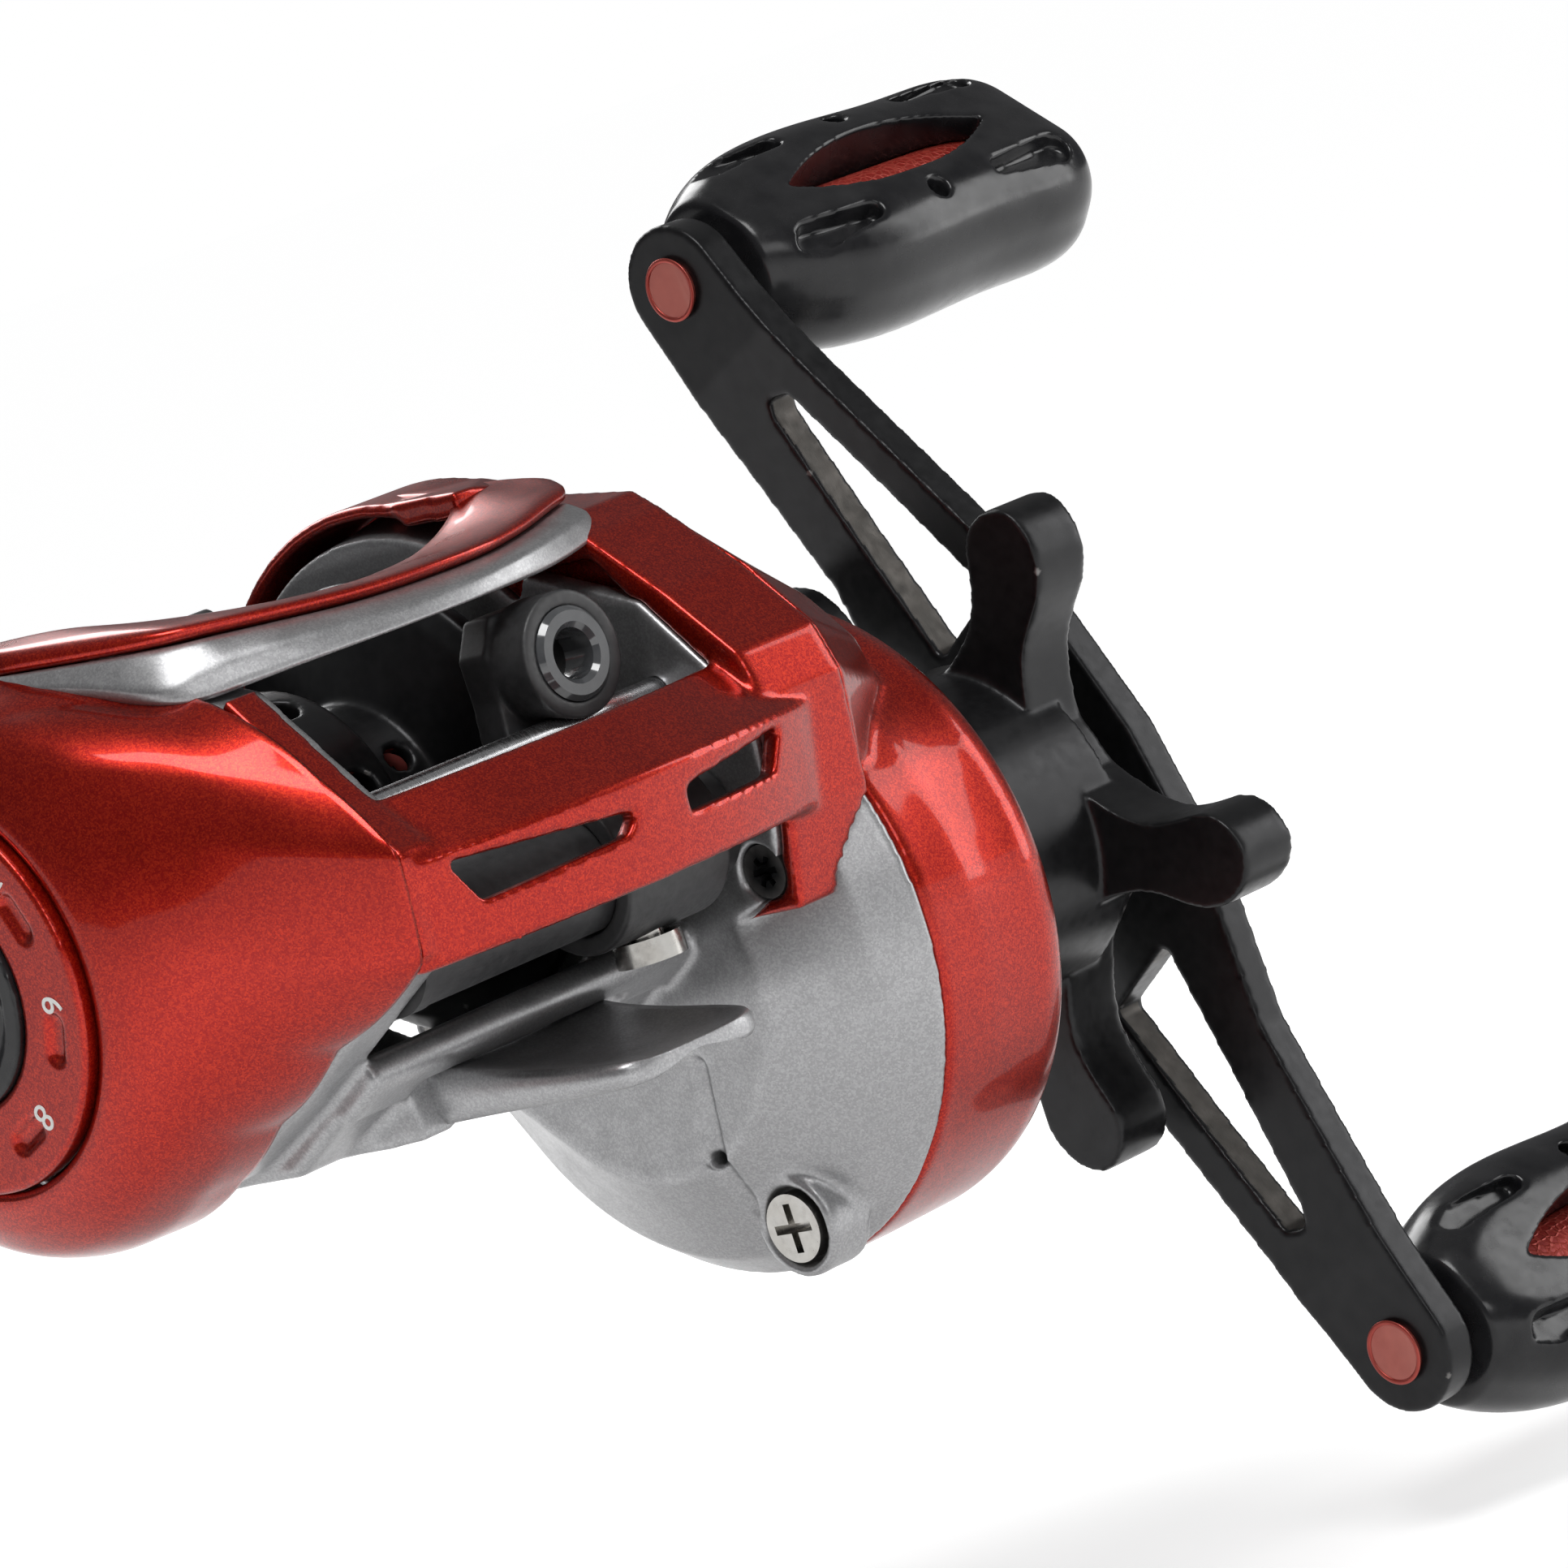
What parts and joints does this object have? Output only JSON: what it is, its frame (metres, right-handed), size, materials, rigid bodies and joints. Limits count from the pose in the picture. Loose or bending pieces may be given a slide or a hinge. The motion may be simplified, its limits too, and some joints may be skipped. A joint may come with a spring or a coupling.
{
  "type": "baitcasting reel",
  "caption": "Low-profile baitcasting fishing reel with red side covers, silver frame, star drag and double crank handle.",
  "frame": {"origin": "middle of the foot's seat, straight below the spool axis", "axes": "+X out of the handle side along the spool axis, -Y to the front where the line leaves, +Z away from the rod"},
  "size_m": [0.1102, 0.062, 0.0885],
  "materials": {
    "red_paint": "metallic red clear coat",
    "silver_paint": "satin silver with fine flake",
    "black_anodised": "satin black anodised",
    "black_gloss": "gloss black",
    "black_plastic": "fine matt black",
    "white_plastic": "natural nylon",
    "steel": "ground",
    "bright_steel": "polished",
    "brass": "machined",
    "carbon_felt": "woven carbon",
    "red_anodised": "satin red anodised",
    "red_core": "fine knurled red",
    "ceramic": "polished dark"
  },
  "bodies": {
    "reel_body": {"frame": "silver_paint", "front_cowl": "red_paint", "hood_trim": "silver_paint", "hood_cap": "red_paint", "palm_side_plate": "red_paint", "spool_bearing_palm": "steel", "spool_bearing_handle": "steel", "pinion_bearing": "steel", "drive_shaft_bearing": "steel", "yoke_posts": "steel", "yoke_springs": "steel", "anti_reverse_bearing": "steel", "gear_side_cover": "red_paint", "cover_screws": "bright_steel", "nose_screw": "black_anodised", "worm_tube": "black_plastic", "worm_bushings": "brass", "guide_rod": "steel"},
    "crank": {"drive_shaft": "steel", "drive_gear": "brass", "ratchet": "steel", "drag_washers": "carbon_felt", "drag_plates": "steel", "anti_reverse_sleeve": "steel", "drag_springs": "steel", "handle_arm": "black_anodised", "handle_nut": "bright_steel", "nut_cap": "bright_steel", "knob_shafts": "red_anodised", "knob_bearings": "steel", "level_wind_drive_gear": "brass"},
    "star": {"star_drag": "black_anodised"},
    "upper_knob": {"knob_upper": "black_gloss", "knob_core_upper": "red_core"},
    "lower_knob": {"knob_lower": "black_gloss", "knob_core_lower": "red_core"},
    "spool_unit": {"spool": "black_anodised", "spool_shaft": "steel", "spool_cross_pin": "steel"},
    "yoke": {"pinion_yoke": "black_plastic"},
    "pinion": {"pinion_gear": "brass"},
    "cam": {"clutch_cam": "black_plastic"},
    "thumb_bar_body": {"thumb_bar": "black_plastic"},
    "worm": {"worm_shaft": "steel", "worm_gear": "white_plastic"},
    "carriage": {"line_guide_carriage": "black_plastic", "ceramic_ring": "ceramic", "pawl": "steel", "pawl_cap": "bright_steel"},
    "dial": {"brake_dial": "red_paint", "brake_dial_cap": "black_gloss"},
    "magnets": {"magnet_carrier": "black_plastic", "brake_magnets": "bright_steel"},
    "cast_cap": {"cast_control_cap": "black_anodised", "cast_control_shim": "brass"}
  },
  "joints": [
    {"name": "handle_turn", "type": "hinge", "parent": "reel_body", "child": "crank", "pos_m": [0.049, -0.01, 0.0024], "axis": [1, 0, 0], "continuous": true},
    {"name": "star_drag_turn", "type": "hinge", "parent": "crank", "child": "star", "pos_m": [0.046, -0.01, 0.0024], "axis": [1, 0, 0], "range_deg": [-360, 360]},
    {"name": "upper_knob_spin", "type": "hinge", "parent": "crank", "child": "upper_knob", "pos_m": [0.065, 0.00563, 0.03922], "axis": [1, 0, 0], "continuous": true},
    {"name": "lower_knob_spin", "type": "hinge", "parent": "crank", "child": "lower_knob", "pos_m": [0.065, -0.02563, -0.03442], "axis": [1, 0, 0], "continuous": true},
    {"name": "spool_spin", "type": "hinge", "parent": "reel_body", "child": "spool_unit", "pos_m": [0, 0, 0.01622], "axis": [1, 0, 0], "continuous": true},
    {"name": "worm_spin", "type": "hinge", "parent": "reel_body", "child": "worm", "pos_m": [0, -0.02103, 0.01143], "axis": [1, 0, 0], "continuous": true},
    {"name": "thumb_bar_press", "type": "slide", "parent": "reel_body", "child": "thumb_bar_body", "axis": [0, 0.6157, -0.788], "range_m": [0, 0.003]},
    {"name": "clutch_cam_turn", "type": "hinge", "parent": "reel_body", "child": "cam", "pos_m": [0.0174, 0, 0.01622], "axis": [1, 0, 0], "range_deg": [-18, 0]},
    {"name": "yoke_slide", "type": "slide", "parent": "reel_body", "child": "yoke", "axis": [1, 0, 0], "range_m": [0, 0.0022], "deforming": ["yoke_springs"]},
    {"name": "pinion_spin", "type": "hinge", "parent": "yoke", "child": "pinion", "pos_m": [0.02, 0, 0.01622], "axis": [1, 0, 0], "continuous": true},
    {"name": "line_guide_slide", "type": "slide", "parent": "reel_body", "child": "carriage", "axis": [1, 0, 0], "range_m": [-0.0147, 0.0017]},
    {"name": "brake_dial_turn", "type": "hinge", "parent": "reel_body", "child": "dial", "pos_m": [-0.0255, 0, 0.01622], "axis": [1, 0, 0], "range_deg": [0, 270]},
    {"name": "magnet_slide", "type": "slide", "parent": "reel_body", "child": "magnets", "axis": [1, 0, 0], "range_m": [0, 0.0016]},
    {"name": "cast_control_turn", "type": "hinge", "parent": "reel_body", "child": "cast_cap", "pos_m": [0.034, 0, 0.01622], "axis": [1, 0, 0], "range_deg": [-180, 180]}
  ],
  "couplings": [
    {"joint": "spool_spin", "follows": "handle_turn", "ratio": -8.1},
    {"joint": "pinion_spin", "follows": "handle_turn", "ratio": -8.1},
    {"joint": "worm_spin", "follows": "handle_turn", "ratio": -2.5625},
    {"joint": "clutch_cam_turn", "follows": "thumb_bar_press", "rad_per_m": -104.72},
    {"joint": "yoke_slide", "follows": "thumb_bar_press", "ratio": 0.73333},
    {"joint": "magnet_slide", "follows": "brake_dial_turn", "m_per_rad": 0.00033953}
  ]
}
